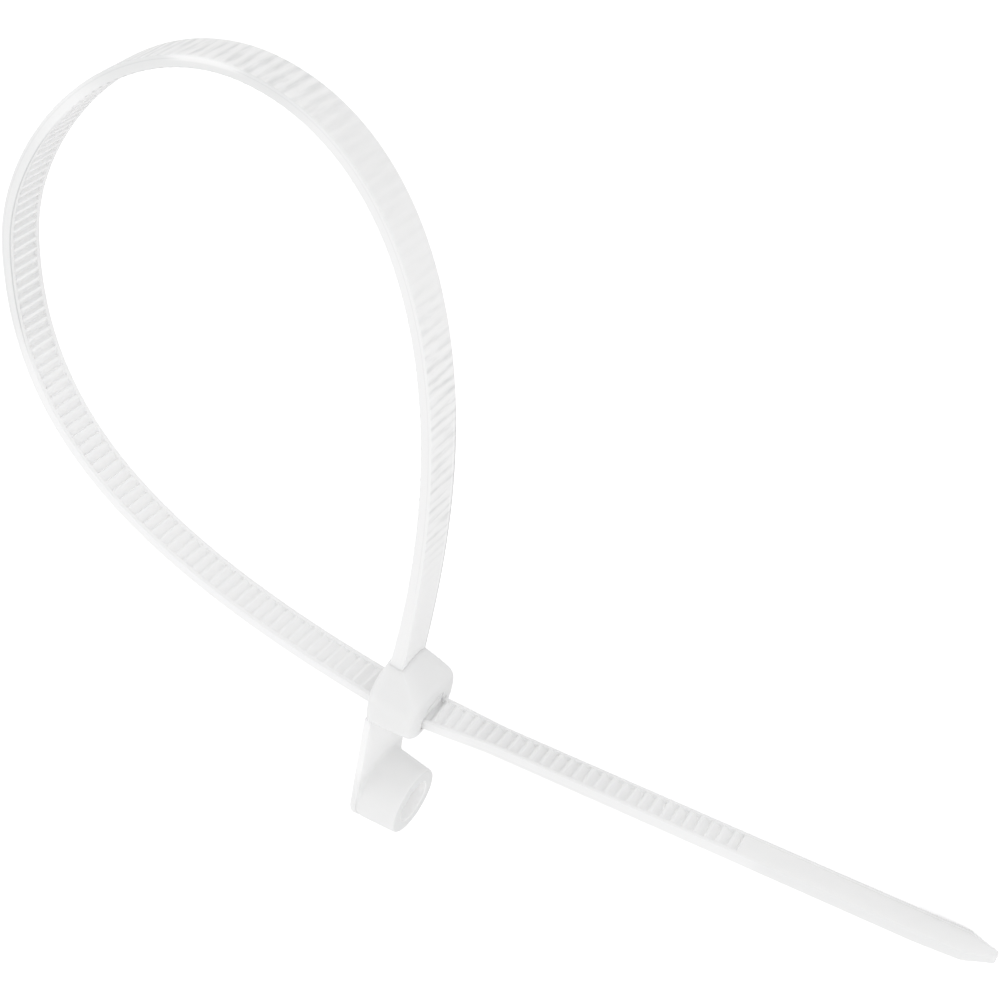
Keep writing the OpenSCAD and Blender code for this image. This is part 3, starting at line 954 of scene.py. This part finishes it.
def floor_material(stage):
    """Plain pale floor that also glows where the camera sees it: white where it is lit, with
    the shadow kept."""
    material = bpy.data.materials.new("pale_floor")
    tree = Nodes(material)
    grey = (stage.floor_grey, stage.floor_grey, stage.floor_grey, 1)
    matte = tree.node("ShaderNodeBsdfDiffuse", {}, {"Color": grey})
    glow = tree.node("ShaderNodeEmission", {}, {"Color": WHITE, "Strength": stage.floor_glow})
    seen = tree.node("ShaderNodeLightPath", output=0)
    nothing = tree.node("ShaderNodeEmission", {}, {"Strength": 0.0})
    lift = tree.node("ShaderNodeMixShader", {}, {0: seen, 1: nothing, 2: glow})
    both = tree.node("ShaderNodeAddShader", {}, [matte, lift])
    tree.node("ShaderNodeOutputMaterial", {}, {"Surface": both})
    return material


def plain_world(strength):
    """Even pale surround that the camera, and gloss and clear things, see as white."""
    world = bpy.data.worlds.new("plain_surround")
    tree = Nodes(world)
    paths = tree.node("ShaderNodeLightPath", output=0)
    glossy = Value(tree, paths.socket.node.outputs["Is Glossy Ray"])
    clear = Value(tree, paths.socket.node.outputs["Is Transmission Ray"])
    white = paths.maths("MAXIMUM", glossy).maths("MAXIMUM", clear)
    sky = tree.node("ShaderNodeBackground", {}, {"Color": WHITE, "Strength": strength})
    seen = tree.node("ShaderNodeBackground", {}, {"Color": WHITE, "Strength": 1})
    mixed = tree.node("ShaderNodeMixShader", {}, {0: white, 1: sky, 2: seen})
    tree.node("ShaderNodeOutputWorld", {}, {"Surface": mixed})
    return world


# The stage

def add_camera(scene, stage):
    """The camera, placed and turned to match the photo."""
    data = bpy.data.cameras.new("camera")
    data.lens = stage.lens
    data.sensor_width = stage.sensor
    data.clip_start = stage.near
    camera = bpy.data.objects.new("camera", data)
    camera.location = stage.eye
    camera.rotation_euler = stage.turn
    scene.collection.objects.link(camera)
    scene.camera = camera


def add_light(name, place, aim, size, power):
    """A square soft light that faces a point."""
    data = bpy.data.lights.new(name, "AREA")
    data.shape = "SQUARE"
    data.size = size
    data.energy = power
    light = bpy.data.objects.new(name, data)
    light.location = place
    light.rotation_euler = (Vector(place) - Vector(aim)).to_track_quat("Z", "Y").to_euler()
    bpy.context.scene.collection.objects.link(light)


def add_floor(scene, stage):
    """A square floor at the lowest point of the part."""
    half, low = stage.floor, CAD_BOX[0][2]
    mesh = bpy.data.meshes.new("floor")
    square = [(-half, -half, low), (half, -half, low), (half, half, low), (-half, half, low)]
    mesh.from_pydata(square, [], [(0, 1, 2, 3)])
    floor = bpy.data.objects.new("floor", mesh)
    mesh.materials.append(floor_material(stage))
    scene.collection.objects.link(floor)


# Operators

class AddStrap(Operator):
    """Add the strap: the loop with its ratchet teeth and the tail"""
    bl_idname = "cable_tie.add_strap"
    bl_label = "Strap"

    def execute(self, context):
        finish_piece(build_strap(context.scene.cable_tie))
        return {"FINISHED"}


class AddHead(Operator):
    """Add the locking head with its slot and window"""
    bl_idname = "cable_tie.add_head"
    bl_label = "Head"

    def execute(self, context):
        finish_piece(build_head(context.scene.cable_tie))
        return {"FINISHED"}


class AddPawl(Operator):
    """Add the pawl that holds the strap's teeth"""
    bl_idname = "cable_tie.add_pawl"
    bl_label = "Pawl"

    def execute(self, context):
        finish_piece(build_pawl(context.scene.cable_tie))
        return {"FINISHED"}


class AddEyelet(Operator):
    """Add the screw eyelet with its neck plate"""
    bl_idname = "cable_tie.add_eyelet"
    bl_label = "Eyelet and neck"

    def execute(self, context):
        finish_piece(build_eyelet(context.scene.cable_tie))
        return {"FINISHED"}


class AddStage(Operator):
    """Add the camera, the soft lights, the surround and the floor"""
    bl_idname = "cable_tie.add_stage"
    bl_label = "Stage"

    def execute(self, context):
        scene = context.scene
        stage = scene.cable_tie.stage
        add_camera(scene, stage)
        add_light("key", stage.key_place, stage.aim, stage.key_size, stage.key)
        add_light("fill", stage.fill_place, stage.aim, stage.fill_size, stage.fill)
        add_floor(scene, stage)
        scene.world = plain_world(stage.sky)
        scene.view_settings.view_transform = "Standard"
        return {"FINISHED"}


class TiePanel(Panel):
    """Buttons that add each piece of the cable tie"""
    bl_idname = "CABLETIE_PT_pieces"
    bl_label = "Cable Tie"
    bl_space_type = "VIEW_3D"
    bl_region_type = "UI"
    bl_category = "Cable Tie"

    def draw(self, context):
        for operator in OPERATORS:
            self.layout.operator(operator.bl_idname)


class CableTie(PropertyGroup):
    strap: PointerProperty(type=StrapSizes)
    loop: PointerProperty(type=LoopSizes)
    tail: PointerProperty(type=TailSizes)
    head: PointerProperty(type=HeadSizes)
    pawl: PointerProperty(type=PawlSizes)
    eyelet: PointerProperty(type=EyeletSizes)
    look: PointerProperty(type=NylonLook)
    stage: PointerProperty(type=StageLook)


GROUPS = (StrapSizes, LoopSizes, TailSizes, HeadSizes, PawlSizes, EyeletSizes, NylonLook,
          StageLook, CableTie)
OPERATORS = (AddStage, AddStrap, AddHead, AddPawl, AddEyelet)


def register():
    for kind in GROUPS + OPERATORS + (TiePanel,):
        bpy.utils.register_class(kind)
    bpy.types.Scene.cable_tie = PointerProperty(type=CableTie)


def unregister():
    del bpy.types.Scene.cable_tie
    for kind in reversed(GROUPS + OPERATORS + (TiePanel,)):
        bpy.utils.unregister_class(kind)


def main():
    """Adds every piece in order."""
    register()
    bpy.ops.cable_tie.add_stage()
    bpy.ops.cable_tie.add_strap()
    bpy.ops.cable_tie.add_head()
    bpy.ops.cable_tie.add_pawl()
    bpy.ops.cable_tie.add_eyelet()
    bpy.context.view_layer.update()


if __name__ == "__main__":
    main()
